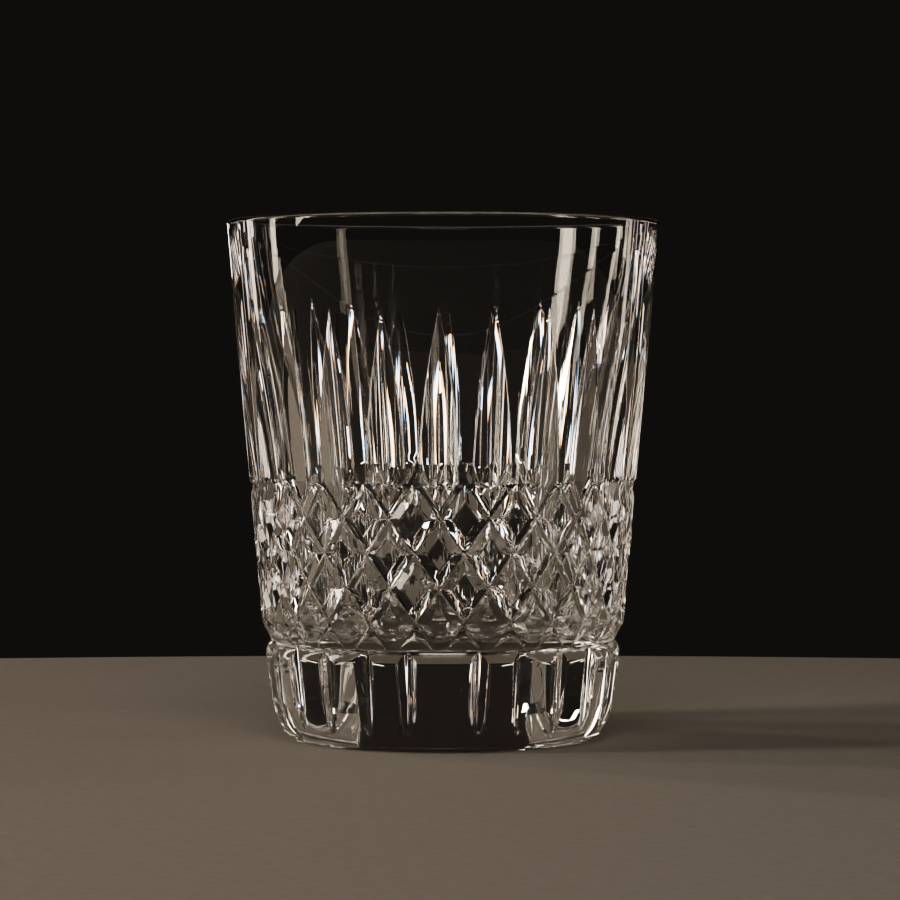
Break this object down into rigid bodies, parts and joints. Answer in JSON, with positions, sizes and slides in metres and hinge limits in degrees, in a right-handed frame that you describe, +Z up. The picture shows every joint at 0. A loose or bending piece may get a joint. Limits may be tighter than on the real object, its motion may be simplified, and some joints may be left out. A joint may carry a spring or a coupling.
{
  "type": "whiskey tumbler",
  "caption": "Straight-sided cut-crystal whiskey tumbler with a heavy base, tall pointed wedge cuts, a diamond-cut band, a waist groove and a fluted base.",
  "frame": {"origin": "centre of the flat face that the tumbler stands on", "axes": "+Z up along the glass's axis, towards the rim; the wider plain panels of the base face -Y and +Y"},
  "size_m": [0.084, 0.084, 0.1],
  "materials": {
    "crystal": "clear lead crystal, fire-polished inside and at the rim, acid-polished in the cuts"
  },
  "bodies": {
    "root": {"glass_body": "crystal"}
  },
  "joints": []
}
